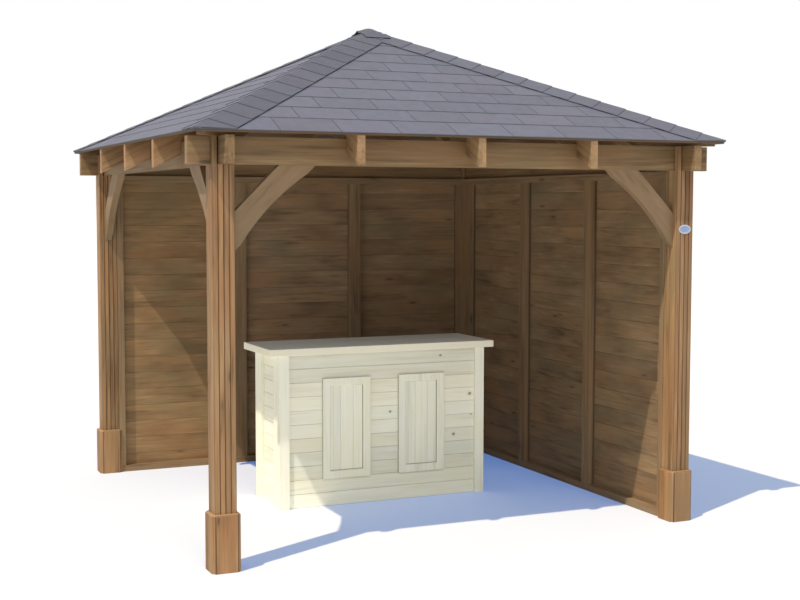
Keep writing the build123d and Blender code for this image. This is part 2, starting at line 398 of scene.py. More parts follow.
class Timber(Finish):
    """Sawn softwood with its grain along one direction. Each board takes its own tone and its
    own part of the figure, from its attribute or from a grid of cells across the piece."""

    def __init__(self, name, grain, tones, variety=0.0, knots=0.0, boards=False, cells=None, rails=None,
                 soft=1.0, short=1.0, patchy=0.5, mottled=0.0, joint=0.5, broken=0.3):
        """Rails are two heights, and the way the grain lies below the one and above the other."""
        super().__init__(name)
        self.tones = tones
        at = self.along(grain)
        if rails:
            low, high, way = rails
            height = self.parts(self.here)[2]
            lying = 1 - height.between(low, high)
            at = self.node("ShaderNodeMix", {"data_type": "VECTOR"},
                           {0: lying, 4: at, 5: self.along(way)}, 1)
        self.whole = at
        if boards:
            shares = self.attribute("board")
        elif cells:
            cell = self.vector("FLOOR", self.vector("MULTIPLY_ADD", self.here, cells), (0, 0, 0))
            shares = self.node("ShaderNodeTexWhiteNoise", {}, {"Vector": cell}, "Color")
        if boards or cells:
            at = self.vector("ADD", at, self.vector("MULTIPLY", shares, (7.0, 3.0, 5.0)))
        self.at = at
        self.figure(soft, short, patchy)
        if mottled:
            clouds = self.noise(self.at, (2.2, 5.0, 5.0), 3.0, 0.5)
            self.colour = self.scaled(self.colour, 1.0 + (clouds - 0.5) * mottled)
        if boards:
            shown = 1.0 - self.noise(self.at, (4.0, 0.0, 0.0), 1.0).step(0.60, 0.35) * broken
            self.mark_or_shade(self.attribute("seam", "Fac") * shown, joint, 0.35)
        if variety:
            self.own_tones(shares, variety)
        if knots:
            self.knots(knots)

    def figure(self, soft, short, patchy):
        """Bands, streaks, contours and fibres, and warm and cool patches that run on from board
        to board. A soft figure has fainter streaks, and a short one has shorter streaks."""
        dark, body, light, warm, cool = [self.dye(tone) for tone in self.tones]
        bands = self.noise(self.at, (0.8 * short, 12.0, 12.0), 2.0, 0.5, 0.3)
        streaks = self.noise(self.at, (2.0 * short, 55.0, 55.0), 3.0, 0.6, 0.2)
        contours = (self.noise(self.at, (0.5, 6.0, 6.0), 1.0, 0.4, 0.6) * 9.0).wave(0.5)
        fibres = self.noise(self.at, (6.0, 210.0, 210.0), 2.0, 0.6)
        patches = self.noise(self.whole, (1.6, 4.2, 4.2), 3.0, 0.6)
        tone = (bands - 0.5) * 1.5 + (streaks - 0.5) * 1.5 + (fibres - 0.5) * 0.6
        tone = (tone - (contours - 0.25) * 0.5) * soft
        colour = self.mixed(tone.step(-0.5, 0.05), dark, body)
        colour = self.mixed(tone.step(0.0, 0.5), colour, light)
        colour = self.mixed(patches.step(0.50, 0.66) * patchy, colour, warm)
        self.colour = self.mixed(patches.step(0.50, 0.34) * patchy, colour, cool)
        self.fibres = fibres
        self.height = streaks * 0.5 + fibres * 0.4 - contours * 0.2

    def own_tones(self, shares, variety):
        """Boards that differ in tone and warmth."""
        warm, cool, shade = self.parts(shares)
        self.colour = self.mixed(warm.step(0.4, 1.0) * variety, self.colour, self.dye(self.tones[3]))
        self.colour = self.mixed(cool.step(0.4, 1.0) * variety, self.colour, self.dye(self.tones[4]))
        self.colour = self.scaled(self.colour, 1.0 - variety * 0.5 + shade * variety)

    def side_light_and_shade(self, shares):
        """Painted light and shade on the faces to the left and the right, from shares of each colour."""
        sideways = self.normal()[0].size().above(ALIGNED)
        self.colour = self.mixed(sideways, self.colour, self.vector("MULTIPLY", self.colour, shares))

    def mark_or_shade(self, mask, share, tone):
        """Darkens where a mask is 1, by a share, to a tone that is a share of the dark streaks'. It draws
        real marks such as knots and joints, and also painted shade.
        """
        self.colour = self.mixed(mask * share, self.colour, self.dye(self.tones[0], tone))

    def knots(self, size):
        """Dark knots in paler haloes, scattered through the boards."""
        spots = self.node("ShaderNodeTexVoronoi", {}, {
            "Vector": self.vector("MULTIPLY", self.at, (2.1, 8.5, 8.5)), "Scale": 1.0})
        self.mark_or_shade(spots.step(0.30 * size, 0.12 * size), 0.28, 1.0)
        self.mark_or_shade(spots.step(0.15 * size, 0.06 * size), 0.7, 0.45)

    def knot_at(self, centre, half_length, half_height):
        """One knot at a place on the front of a board along X."""
        away = self.oval(centre, half_length, half_height)
        self.mark_or_shade(away.step(2.6, 0.8), 0.4, 0.9)
        self.mark_or_shade(away.step(1.1, 0.6), 0.8, 0.22)

    def finished(self):
        return self.done(self.colour, 0.6 + self.fibres * 0.2, self.height, 0.0012)


def evenly(share):
    """One number for all three colours or axes."""
    return (share, share, share)


def shifted(tones, share):
    """Tones with their red, green and blue multiplied by a share each."""
    return tuple(tuple(number * part for number, part in zip(tone, share)) for tone in tones)


def timber(name, grain, tones, knots, **kind):
    """A plain timber finish."""
    return Timber(name, grain, tones, knots=knots, **kind).finished()


# Tones are dark streak, body, light streak, warm patch and cool patch.
POST_TONES = ((0.138, 0.072, 0.028), (0.277, 0.160, 0.072), (0.380, 0.240, 0.125),
              (0.298, 0.143, 0.058), (0.239, 0.163, 0.080))
SKIRT_TONES = shifted(POST_TONES, (1.06, 1.03, 0.98))
BEAM_TONES = ((0.111, 0.063, 0.025), (0.207, 0.125, 0.055), (0.268, 0.174, 0.085),
              (0.224, 0.121, 0.050), (0.174, 0.121, 0.053))
BRACE_TONES = ((0.130, 0.081, 0.037), (0.222, 0.144, 0.075), (0.290, 0.197, 0.110),
               (0.234, 0.139, 0.068), (0.205, 0.146, 0.075))
SOFFIT_TONES = ((0.060, 0.033, 0.012), (0.120, 0.070, 0.030), (0.165, 0.102, 0.049),
                (0.130, 0.066, 0.027), (0.110, 0.074, 0.033))
WALL_TONES = ((0.136, 0.081, 0.036), (0.255, 0.162, 0.080), (0.343, 0.232, 0.130),
              (0.283, 0.156, 0.070), (0.218, 0.164, 0.087))
FRAME_TONES = shifted(WALL_TONES, (0.92, 0.93, 0.95))
BAR_TONES = ((0.76, 0.745, 0.600), (0.86, 0.855, 0.722), (0.89, 0.888, 0.780),
             (0.85, 0.820, 0.610), (0.82, 0.850, 0.745))
BAR_FRONT_TONES = shifted(BAR_TONES, evenly(0.92))
BAR_PANEL_TONES = shifted(BAR_TONES, evenly(0.95))
# The counter top's tones are its own pale colour with a painted reflection of the sky, paler and greener
# than its edge.
TOP_TONES = ((0.82, 0.860, 0.780), (0.90, 0.930, 0.860), (0.93, 0.950, 0.890),
             (0.90, 0.915, 0.810), (0.86, 0.920, 0.870))
TOP_EDGE = (0.80, 0.750, 0.580)

# Shares of red, green and blue by which timbers differ from their tones: a post and its skirt, with the
# front right and back right ones darkened as painted shade; the sides of the post and the sides of the
# skirt, lighter or darker as painted light and shade; the left beam, and the bays of the walls.
PLAIN = evenly(1.0)
CORNER_SHARES = {"front_right": ((0.84, 0.80, 0.79), (1.38, 1.46, 1.42), (1.32, 1.24, 1.04)),
                 "back_right": ((0.78, 0.80, 0.78), PLAIN, PLAIN),
                 "back_left": ((1.02, 0.99, 0.97), (1.04, 0.98, 0.92), (0.87, 0.83, 0.87)),
                 "front_left": (PLAIN, (0.83, 0.80, 0.70), (0.84, 0.82, 0.74))}
LEFT_BEAM_SHARES = (0.90, 0.91, 0.90)
BAY_SHARES = {"back": ((1.03, 0.98, 0.87), (1.00, 1.03, 1.13), (0.94, 0.94, 0.97)),
              "right": ((0.91, 0.89, 0.88), (0.91, 0.93, 0.96), (0.99, 1.00, 1.03))}

# Where the boards of a wall meet on its studs.
BAY_ENDS = {"back": (-POST_IN, -0.460, 0.460, POST_IN), "right": (-POST_IN, -0.495, 0.390, POST_IN)}

# Knots on the front of the counter: place across and up, half length and half height.
FRONT_KNOTS = ((0.408, 0.938, 0.012, 0.008), (0.627, 0.671, 0.013, 0.011), (0.045, 0.584, 0.011, 0.008),
               (0.507, 0.405, 0.012, 0.011), (0.638, 0.530, 0.006, 0.006))

# Colour of a lamp, direction from the object to it, and softness. Angles are in degrees.
LAMPS = {"sun": ((1.0, 0.915, 0.78), (-0.450, -0.238, 0.861), 0.6),
         "fill": ((0.97, 1.0, 1.05), (-0.10, -0.80, 0.60), 30.0)}
CAMERA_PLACE = (-3.4105, -8.1632, 1.9230)
CAMERA_TURN = (85.975, -0.066, -24.00)


class TimberSettings(bpy.types.PropertyGroup):
    """Tones of the brown timber."""
    wall_variety: bpy.props.FloatProperty(
        name="Wall variety", description="How much the wall boards differ in tone",
        default=0.10, min=0, max=1, subtype="FACTOR")
    post_variety: bpy.props.FloatProperty(
        name="Post variety", description="How much the laminations of a post differ in tone",
        default=0.18, min=0, max=1, subtype="FACTOR")


class WallSettings(bpy.types.PropertyGroup):
    """Boards of the two walls."""
    boards: bpy.props.IntProperty(
        name="Boards", description="Boards from the ground to the beams", default=18)
    joint: bpy.props.FloatProperty(
        name="Joint", description="Width of the V joint between two boards", default=0.004, unit="LENGTH")


class RoofSettings(bpy.types.PropertyGroup):
    """Boards, shingles and caps of the roof."""
    deck_boards: bpy.props.IntProperty(
        name="Deck boards", description="Boards of one slope", default=19)
    course: bpy.props.FloatProperty(
        name="Course", description="Height of a course of shingles", default=0.1643, unit="LENGTH")
    first_course: bpy.props.FloatProperty(
        name="First course", description="Height of the course at the eave", default=0.189, unit="LENGTH")
    tab: bpy.props.FloatProperty(
        name="Tab", description="Width of one tab", default=0.340, unit="LENGTH")
    tab_start: bpy.props.FloatProperty(
        name="Tab start", description="Place of a joint in the lowest course",
        default=0.189, unit="LENGTH")
    stagger: bpy.props.FloatProperty(
        name="Stagger", description="Shift of every second course", default=0.175, unit="LENGTH")
    slot: bpy.props.FloatProperty(
        name="Slot", description="Slot between two tabs", default=0.003, unit="LENGTH")
    cap: bpy.props.FloatProperty(
        name="Cap", description="Exposed length of one hip cap", default=0.1635, unit="LENGTH")
    cap_half: bpy.props.FloatProperty(
        name="Cap half", description="Width of a hip cap from its fold", default=0.168, unit="LENGTH")
    sag: bpy.props.FloatProperty(
        name="Sag", description="How far the open sides of the peak strip sag",
        default=0.020, unit="LENGTH")
    slate: bpy.props.FloatVectorProperty(
        name="Slate", description="Colour of the shingles",
        default=(0.108, 0.115, 0.158), subtype="COLOR")


class CounterSettings(bpy.types.PropertyGroup):
    """Boards and panels of the counter."""
    boards: bpy.props.IntProperty(
        name="Boards", description="Boards from the ground to the top", default=11)
    joint: bpy.props.FloatProperty(
        name="Joint", description="Width of the V joint between two boards", default=0.006, unit="LENGTH")
    border: bpy.props.FloatProperty(
        name="Border", description="Width of the border of a panel", default=0.046, unit="LENGTH")
    recess: bpy.props.FloatProperty(
        name="Recess", description="Depth of the field of a panel", default=0.009, unit="LENGTH")


class StageSettings(bpy.types.PropertyGroup):
    """Lamps and camera."""
    sun: bpy.props.FloatProperty(name="Sun", description="Strength of the sun lamp", default=3.3)
    fill: bpy.props.FloatProperty(
        name="Fill", description="Strength of the soft lamp at the front", default=0.68)
    sky: bpy.props.FloatProperty(name="Sky", description="Strength of the even light", default=0.42)
    lens: bpy.props.FloatProperty(
        name="Lens", description="Focal length in millimetres", default=59.94, subtype="DISTANCE_CAMERA")


# Operators

def cad_finish(name, material):
    """Gives a CAD node a finish in its own slots."""
    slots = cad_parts[name].data.materials
    for index in range(len(slots)):
        slots[index] = material


def post_finish(corner, variety):
    """A laminated post, with painted shade on the slanting faces of its V joints and edges."""
    shares, side_light_shares, _ = CORNER_SHARES[corner]
    # The shares of the front right and back right posts darken them as painted shade.
    tones = shifted(POST_TONES, shares)
    wood = Timber("post timber " + corner, UP, tones, variety, 0.7, cells=(1 / POST_BOARD, 0, 0))
    slanting = wood.normal()[1].size().between(0.3, 0.8)
    # Painted shade: the slanting faces of the V joints and edges are darkened.
    wood.mark_or_shade(slanting, 0.55, 0.7)
    # Painted light and shade: the faces to the left and the right are made lighter or darker.
    wood.side_light_and_shade(side_light_shares)
    return wood.finished()


def skirt_finish(corner):
    """A boxed foot with an open joint beside each chamfer, paler on its upward faces."""
    joint_start, joint_end = -0.008, -0.014
    shares, _, side_light_shares = CORNER_SHARES[corner]
    # The shares of the front right and back right skirts darken them as painted shade.
    tones = shifted(SKIRT_TONES, shares)
    wood = Timber("skirt timber " + corner, UP, tones, 0.1, 0.6, cells=(2.0, 0, 0), mottled=0.5)
    normal = wood.normal()
    x, y, _ = wood.parts(wood.here)
    middle = (POST_OUT + POST_IN) / 2
    skew = (x.size() - middle).size() - (y.size() - middle).size()
    chamfer = normal[1].size().between(0.5, 0.9)
    wood.mark_or_shade(chamfer * skew.step(joint_start, joint_end), 0.85, 0.3)
    # Paler on the faces that look upward.
    worn = normal[2].step(0.2, 0.8)
    wood.colour = wood.mixed(worn * 0.6, wood.colour, wood.dye(tones[2]))
    # Painted light and shade: the faces to the left and the right are made lighter or darker.
    wood.side_light_and_shade(side_light_shares)
    return wood.finished()


def rafter_finish(side, up_slope, across):
    """Rafters whose tails are bleached, with painted shade on their parts behind the beams."""
    bleached = 0.05
    wood = Timber("rafter timber " + side, up_slope, POST_TONES, 0.2, 0.7, cells=across)
    x, y, _ = wood.parts(wood.here)
    out = x.size().most(y.size())
    tail = out.step(POST_OUT, POST_OUT + bleached)
    wood.colour = wood.mixed(tail * 0.2, wood.colour, wood.dye(POST_TONES[2]))
    # Painted shade: the parts of the rafters behind the beams are darkened.
    wood.mark_or_shade(out.step(POST_OUT, POST_IN), 0.8, 0.6)
    return wood.finished()


def frame_finish(wall, way, axis):
    """Upright studs and lying rails, with painted shade where their sides meet the boards."""
    shade_start, shade_end = 0.020, 0.008
    rails = (FRAME_RAIL, BEAM_Z - FRAME_RAIL, way)
    wood = Timber(wall + " frame timber", UP, FRAME_TONES, knots=0.6, rails=rails, soft=0.8)
    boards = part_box(wall + "_wall_boards")[0][axis]
    across = wood.normal()[1 - axis].size().above(0.7)
    close = wood.parts(wood.here)[axis].step(boards - shade_start, boards - shade_end)
    # Painted shade on the sides of the studs and rails next to the boards.
    wood.mark_or_shade(across * close, 0.8, 0.4)
    return wood.finished()


class FinishTimber(bpy.types.Operator):
    """Finishes the posts, beams, braces, rafters and wall frames"""
    bl_idname = "garden_bar.timber"
    bl_label = "Timber frame"
    bl_options = {"REGISTER", "UNDO"}

    def execute(self, context):
        variety = context.scene.garden_bar_timber.post_variety
        for corner, angle in CORNERS.items():
            up_hip = Matrix.Rotation(angle, 3, "Z") @ Vector((-1, 1, tan(PITCH)))
            cad_finish("post_" + corner, post_finish(corner, variety))
            cad_finish("post_skirt_" + corner, skirt_finish(corner))
            cad_finish("hip_rafter_" + corner, timber("hip timber " + corner, up_hip, BEAM_TONES, 0.7))
        for side, angle in SIDES.items():
            turn = Matrix.Rotation(angle, 3, "Z")
            across = turn @ ALONG_X
            up_slope = turn @ Vector((0, cos(PITCH), sin(PITCH)))
            tones = shifted(BEAM_TONES, LEFT_BEAM_SHARES) if side == "left" else BEAM_TONES
            cad_finish("beam_" + side, timber("beam timber " + side, across, tones, 0.8))
            cad_finish("rafters_" + side, rafter_finish(side, up_slope, across))
        for node, way in (("brace_front_left", (1, 0, 1)), ("brace_front_right", (-1, 0, 1)),
                          ("brace_left_front", (0, 1, 1)), ("brace_left_back", (0, -1, 1))):
            cad_finish(node, timber(node + " timber", Vector(way), BRACE_TONES, 0.5, soft=0.6, short=3.0))
        cad_finish("peak_boss", timber("boss timber", UP, BEAM_TONES, 0.5))
        cad_finish("back_wall_frame", frame_finish("back", ALONG_X, 1))
        cad_finish("right_wall_frame", frame_finish("right", ALONG_Y, 0))
        return {"FINISHED"}


class MakeWallBoards(bpy.types.Operator):
    """Boards the back wall and the right wall"""
    bl_idname = "garden_bar.wall_boards"
    bl_label = "Wall boards"
    bl_options = {"REGISTER", "UNDO"}

    def execute(self, context):
        variety = context.scene.garden_bar_timber.wall_variety
        for side, grain, seed in (("back", ALONG_X, 11), ("right", ALONG_Y, 12)):
            boards = self.boards(context.scene.garden_bar_walls, side, random.Random(seed))
            wood = Timber(side + " board timber", grain, WALL_TONES, variety, 0.55, boards=True, soft=0.7,
                          short=2.4, patchy=0.7, mottled=1.3, joint=0.4, broken=1.0)
            wood.colour = wood.vector("MULTIPLY", wood.colour, wood.attribute("tint"))
            hand_in(joined(boards, side + "_wall_planks"), "wall_boards", wood.finished(),
                    side + "_wall_boards")
        return {"FINISHED"}

    def boards(self, settings, side, draw):
        """Boards in three lengths, each bay of them with its own tone."""
        pitch = BEAM_Z / settings.boards
        low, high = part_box(side + "_wall_boards")
        thick = min(high - low)
        ends = BAY_ENDS[side]
        boards = []
        for start, end, shares in zip(ends, ends[1:], BAY_SHARES[side]):
            first = plank("board", end - start, pitch, thick, settings.joint)
            for row in range(settings.boards):
                if side == "back":
                    board = twin(first, (start, high.y, row * pitch), (pi / 2, 0, 0))
                else:
                    board = twin(first, (low.x, start, row * pitch), (pi / 2, 0, pi / 2))
                stamp(board, draw)
                mark(board, "tint", shares)
                boards.append(board)
            discard(first)
        return boards


class MakeRoofBoards(bpy.types.Operator):
    """Lays the roof boards on the rafters"""
    bl_idname = "garden_bar.roof_boards"
    bl_label = "Roof boards"
    bl_options = {"REGISTER", "UNDO"}

    def execute(self, context):
        joint = 0.004
        rows = context.scene.garden_bar_roof.deck_boards
        pitch = DECK_OUT / cos(PITCH) / rows
        first = plank("deck", 2 * DECK_OUT, pitch, DECK_THICK, joint)
        for number, (side, angle) in enumerate(SIDES.items()):
            draw = random.Random(21 + number)
            boards = []
            for row in range(rows):
                board = twin(first, (-DECK_OUT, row * pitch, 0))
                stamp(board, draw)
                boards.append(board)
            piece = on_slope("roof_planks_" + side, boards, DECK_OUT, angle)
            grain = Matrix.Rotation(angle, 3, "Z") @ ALONG_X
            wood = timber("deck timber " + side, grain, SOFFIT_TONES, 0.7, variety=0.3, boards=True)
            hand_in(piece, "roof_boards", wood, "roof_boards_" + side)
        discard(first)
        return {"FINISHED"}


def on_slope(name, pieces, out, angle):
    """Lays flat pieces, drawn across X and up Y from the eave, on one slope, cuts each of them at
    the eave and the hips, and joins them."""
    lean = Matrix.Translation((0, -out, rafter_top(out))) @ Matrix.Rotation(PITCH, 4, "X")
    for piece in pieces:
        piece.data.transform(lean)
        cut(piece, (0, -out, 0), (0, -1, 0))
        for sign in (-1, 1):
            cut(piece, (0, 0, 0), Vector((sign, 1, 0)).normalized())
    layer = joined(pieces, name)
    place(layer, (0, 0, 0), (0, 0, angle))
    return layer


def slate(name, shade, settings, width=None):
    """Mineral-faced shingle felt that imitates slate: granules, mottling, a tone for each tab,
    and painted shade along the ragged butts and sides of tabs of a given width."""
    f = Finish(name)
    colour = Vector(settings.slate) * shade
    warm = colour * Vector((1.07, 0.98, 0.97))
    cool = colour * Vector((0.88, 0.94, 1.06))
    tone, tint, weight = f.parts(f.attribute("board"))
    granules = f.noise(f.here, evenly(520.0), 2.0, 0.6)
    mottle = f.noise(f.here, evenly(17.0), 4.0, 0.6)
    strength = 0.86 + tone * 0.14 + granules.step(0.3, 0.7) * 0.14 + (mottle - 0.5) * 0.5
    base = f.mixed(tint * 0.6, f.dye(colour), f.dye(warm))
    base = f.mixed(mottle.step(0.52, 0.75) * 0.45, base, f.dye(cool))
    final = f.scaled(base, strength)
    if width:
        butt_start, butt_end = 0.011, 0.002
        side_start, side_end = 0.008, 0.001
        x, y, _ = f.parts(f.attribute("chart"))
        wander = (f.noise(f.here, evenly(75.0), 2.0, 0.6) - 0.5) * 0.016
        # Painted shade along the butt and the sides of each tab.
        butt = (y + wander).step(butt_start, butt_end) * (0.55 + weight * 0.45)
        left = (x + wander).step(side_start, side_end)
        right = (x - wander).step(width - side_start, width - side_end)
        edges = butt.most(left.most(right) * 0.5)
        final = f.mixed(edges * 0.32, final, f.dye(colour, 0.22))
    return f.done(final, 0.62 + granules * 0.2, granules, 0.0012)


class MakeShingles(bpy.types.Operator):
    """Lays the shingles in staggered courses"""
    bl_idname = "garden_bar.shingles"
    bl_label = "Shingles"
    bl_options = {"REGISTER", "UNDO"}

    def execute(self, context):
        settings = context.scene.garden_bar_roof
        slope = SHINGLE_OUT / cos(PITCH)
        side_shift = 0.11
        material = slate("shingle slate", 1.0, settings, settings.tab - settings.slot)
        dark = slate("shingle felt", 0.35, settings)
        rows = ceil((slope - settings.first_course) / settings.course) + 1
        for number, (side, angle) in enumerate(SIDES.items()):
            draw = random.Random(31 + number)
            tabs = []
            for row in range(rows):
                start = settings.first_course + (row - 1) * settings.course if row else 0.0
                end = settings.first_course + row * settings.course
                shift = settings.stagger if row % 2 else 0.0
                first_joint = settings.tab_start + side_shift * number - shift
                tabs += self.course(settings, start, end, first_joint, draw)
            piece = on_slope("shingle_tabs_" + side, tabs, SHINGLE_OUT, angle)
            under = cuboid("felt", (-SHINGLE_OUT, 0, DECK_THICK),
                           (SHINGLE_OUT, slope, DECK_THICK + FELT_THICK))
            stamp(under, draw)
            under = on_slope("shingle_felt_" + side, [under], SHINGLE_OUT, angle)
            hand_in(piece, "shingles", material, "shingles_" + side)
            hand_in(under, "shingles", dark, "shingles_" + side)
        return {"FINISHED"}

    def course(self, settings, start, end, first_joint, draw):
        """One course of tabs, thick at the butt and thin where the next course covers it."""
        lap, thinner, worn = 0.004, 0.0028, 0.0007
        top = FELT_THICK + NEAR
        tab = cuboid("tab", (0, 0, FELT_THICK),
                     (settings.tab - settings.slot, end - start + lap, SHINGLE_THICK))
        edit(tab, "VERT", lambda v: v.co.y > lap and v.co.z > top)
        bpy.ops.transform.translate(value=(0, 0, -thinner))
        leave()
        bevel(tab, worn, lambda e: all(v.co.y < NEAR and v.co.z > top for v in e.verts))
        chart(tab)
        reach = SHINGLE_OUT - start * cos(PITCH)
        first = ceil((-reach - first_joint) / settings.tab) - 1
        tabs = []
        while first_joint + first * settings.tab < reach:
            one = twin(tab, (first_joint + first * settings.tab, start, DECK_THICK))
            stamp(one, draw)
            tabs.append(one)
            first += 1
        discard(tab)
        return tabs


HIP_DOWN = Vector((1, -1, -tan(PITCH))).normalized()
HIP_TURN = Vector((1, 1, 0)).normalized()


def hip_fold():
    """How far each half of a hip cap is folded down."""
    slope_way = Vector((0, -cos(PITCH), -sin(PITCH)))
    down = slope_way - HIP_DOWN * slope_way.dot(HIP_DOWN)
    return down.angle(-HIP_TURN)


class MakeCaps(bpy.types.Operator):
    """Lays the folded caps along the hips and the strip over the peak"""
    bl_idname = "garden_bar.caps"
    bl_label = "Hip caps"
    bl_options = {"REGISTER", "UNDO"}

    def execute(self, context):
        settings = context.scene.garden_bar_roof
        material = slate("cap slate", 0.89, settings, 1.0)
        self.hips(settings, material)
        self.peak(settings, material)
        return {"FINISHED"}

    def hips(self, settings, material):
        """Caps that lap up each hip, cut at the eave and, with an open joint, where the hips meet."""
        butts = {"front_right": 0.152, "back_right": 0.164, "back_left": 0.152, "front_left": 0.164}
        lap, thick, clear, half_joint = 0.03, 0.0035, 0.0005, 0.001
        length = settings.cap + lap
        lift = CAP_THICK - thick
        first = sheet("cap", (0, -settings.cap_half), (length, settings.cap_half), 1, 2)
        chart(first)
        fold(first, hip_fold())
        thicken(first, thick, 1)
        place(first, (0, 0, 0), (0, (lift - clear) / length, 0))
        corner_z = rafter_top(CAP_OUT) + (DECK_THICK + SHINGLE_THICK) / cos(PITCH)
        normal = HIP_DOWN.cross(HIP_TURN).normalized()
        basis = Matrix((-HIP_DOWN, -HIP_TURN, normal)).transposed().to_4x4()
        hip_length = CAP_OUT / HIP_DOWN.x
        limits = (((CAP_OUT, 0, 0), (1, 0, 0)), ((0, -CAP_OUT, 0), (0, -1, 0)),
                  ((half_joint, 0, 0), (-1, 0, 0)), ((0, -half_joint, 0), (0, 1, 0)))
        for number, (corner, angle) in enumerate(CORNERS.items()):
            draw = random.Random(41 + number)
            caps = []
            at = butts[corner] - 2 * settings.cap
            while at < hip_length:
                one = twin(first)
                start = Vector((CAP_OUT, -CAP_OUT, corner_z)) - HIP_DOWN * at + normal * lift
                one.data.transform(Matrix.Translation(start) @ basis)
                stamp(one, draw)
                for point, way in limits:
                    cut(one, point, way)
                caps.append(one)
                at += settings.cap
            piece = joined(caps, "hip_cap_" + corner)
            place(piece, (0, 0, 0), (0, 0, angle))
            hand_in(piece, "caps", material, "hip_caps")
        discard(first)

    def peak(self, settings, material):
        """A strip folded over the peak, whose open sides sag towards the hips."""
        thick = 0.0036
        low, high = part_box("peak_cap")
        reach = high.y / cos(PITCH)
        sag_from, sag_over = reach / 7, 0.085
        strip = sheet("peak_strip", (low.x, -reach), (high.x, reach), 8, 16)
        chart(strip)
        fold(strip, PITCH)
        place(strip, (0, 0, high.z))
        for side in (low.x, high.x):
            edit(strip, "VERT", lambda v: abs(v.co.x - side) < NEAR and abs(v.co.y) < sag_from)
            bpy.ops.transform.translate(value=(0, 0, -settings.sag), use_proportional_edit=True,
                                        proportional_edit_falloff="SMOOTH", proportional_size=sag_over)
            leave()
        thicken(strip, thick, -1)
        mark(strip, "board", evenly(0.5))
        hand_in(strip, "caps", material, "peak_cap")


class MakeCounterBoards(bpy.types.Operator):
    """Boards the front and the ends of the counter"""
    bl_idname = "garden_bar.counter_boards"
    bl_label = "Counter boards"
    bl_options = {"REGISTER", "UNDO"}

    def execute(self, context):
        settings = context.scene.garden_bar_counter
        low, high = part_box("bar_boards")
        pitch = high.z / settings.boards
        thick = BAR_BOARD
        yellow_row, yellow_shares = 4, (1.0, 0.3, 0.4)
        draw = random.Random(61)
        front = plank("front", high.x - low.x, pitch, thick, settings.joint)
        end = plank("end", high.y - low.y - thick, pitch, thick, settings.joint)
        fronts, ends = [], []
        for row in range(settings.boards):
            board = twin(front, (low.x, low.y + thick, row * pitch), (pi / 2, 0, 0))
            stamp(board, draw, yellow_shares if row == yellow_row else None)
            fronts.append(board)
            for x in (low.x, high.x - thick):
                board = twin(end, (x, low.y + thick, row * pitch), (pi / 2, 0, pi / 2))
                stamp(board, draw)
                ends.append(board)
        discard(front, end)
        wood = Timber("counter front timber", ALONG_X, BAR_FRONT_TONES, 0.3, boards=True, joint=0.6)
        for x, z, half_length, half_height in FRONT_KNOTS:
            wood.knot_at(Vector((x, 0.0, z)), half_length, half_height)
        hand_in(joined(fronts, "counter_front_planks"), "bar_boards", wood.finished(), "bar_boards")
        wood = timber("counter end timber", ALONG_Y, BAR_TONES, 0.3, variety=0.1, boards=True)
        hand_in(joined(ends, "counter_end_planks"), "bar_boards", wood, "bar_boards")
        return {"FINISHED"}


class MakeCounterPanels(bpy.types.Operator):
    """Builds the two framed panels on the front of the counter"""
    bl_idname = "garden_bar.counter_panels"
    bl_label = "Counter panels"
    bl_options = {"REGISTER", "UNDO"}

    def execute(self, context):
        settings = context.scene.garden_bar_counter
        low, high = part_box("bar_panels")
        draw = random.Random(71)
        frames, fields = [], []
        for x in (low.x, high.x - PANEL_WIDTH):
            frames.append(self.border(settings, x, low, high))
            stamp(frames[-1], draw)
            fields += self.slats(settings, x, low, high, draw)
        wood = Timber("panel frame timber", UP, BAR_PANEL_TONES)
        # Painted shade: what lies deeper than the recess, seen in the gap round the slats, is darkened.
        depth = wood.parts(wood.here)[1]
        wood.mark_or_shade(depth.above(low.y + settings.recess), 0.8, 0.4)
        hand_in(joined(frames, "counter_panel_frames"), "bar_trim", wood.finished(), "bar_panels")
        wood = timber("panel slat timber", UP, BAR_PANEL_TONES, 0.1, variety=0.1, boards=True)
        hand_in(joined(fields, "counter_panel_slats"), "bar_trim", wood, "bar_panels")
        return {"FINISHED"}

    def border(self, settings, x, low, high):
        """The border of a panel, with a bead round its sunk field and eased outer edges."""
        eased, under_slats = 0.002, 0.001
        panel = cuboid("panel", (x, low.y, low.z), (x + PANEL_WIDTH, high.y, high.z))
        edit(panel, "FACE", lambda f: f.normal.y < -ALIGNED)
        bpy.ops.mesh.inset(thickness=settings.border, depth=0)
        bpy.ops.mesh.inset(thickness=PANEL_BEAD, depth=-PANEL_BEAD)
        bpy.ops.mesh.extrude_region_move(
            TRANSFORM_OT_translate={"value": (0, settings.recess - under_slats, 0)})
        leave()
        bevel(panel, eased, lambda e: all(abs(v.co.y - low.y) < NEAR for v in e.verts))
        return panel

    def slats(self, settings, x, low, high, draw):
        """Upright slats that fill the sunk field, with a gap to the right and below."""
        gap, thick, joint = 0.004, 0.005, 0.004
        narrow, half_wide = 0.018, 0.044
        inner = settings.border + PANEL_BEAD
        left, right = x + inner, x + PANEL_WIDTH - inner - gap
        middle = x + PANEL_WIDTH / 2
        bottom = low.z + inner + gap
        edges = (left, left + narrow, middle - half_wide, middle + half_wide, right)
        slats = []
        for start, end in zip(edges, edges[1:]):
            slat = plank("slat", high.z - inner - bottom, end - start, thick, joint)
            place(slat, (end, low.y + settings.recess + thick, bottom), (pi / 2, -pi / 2, 0))
            stamp(slat, draw)
            slats.append(slat)
        return slats


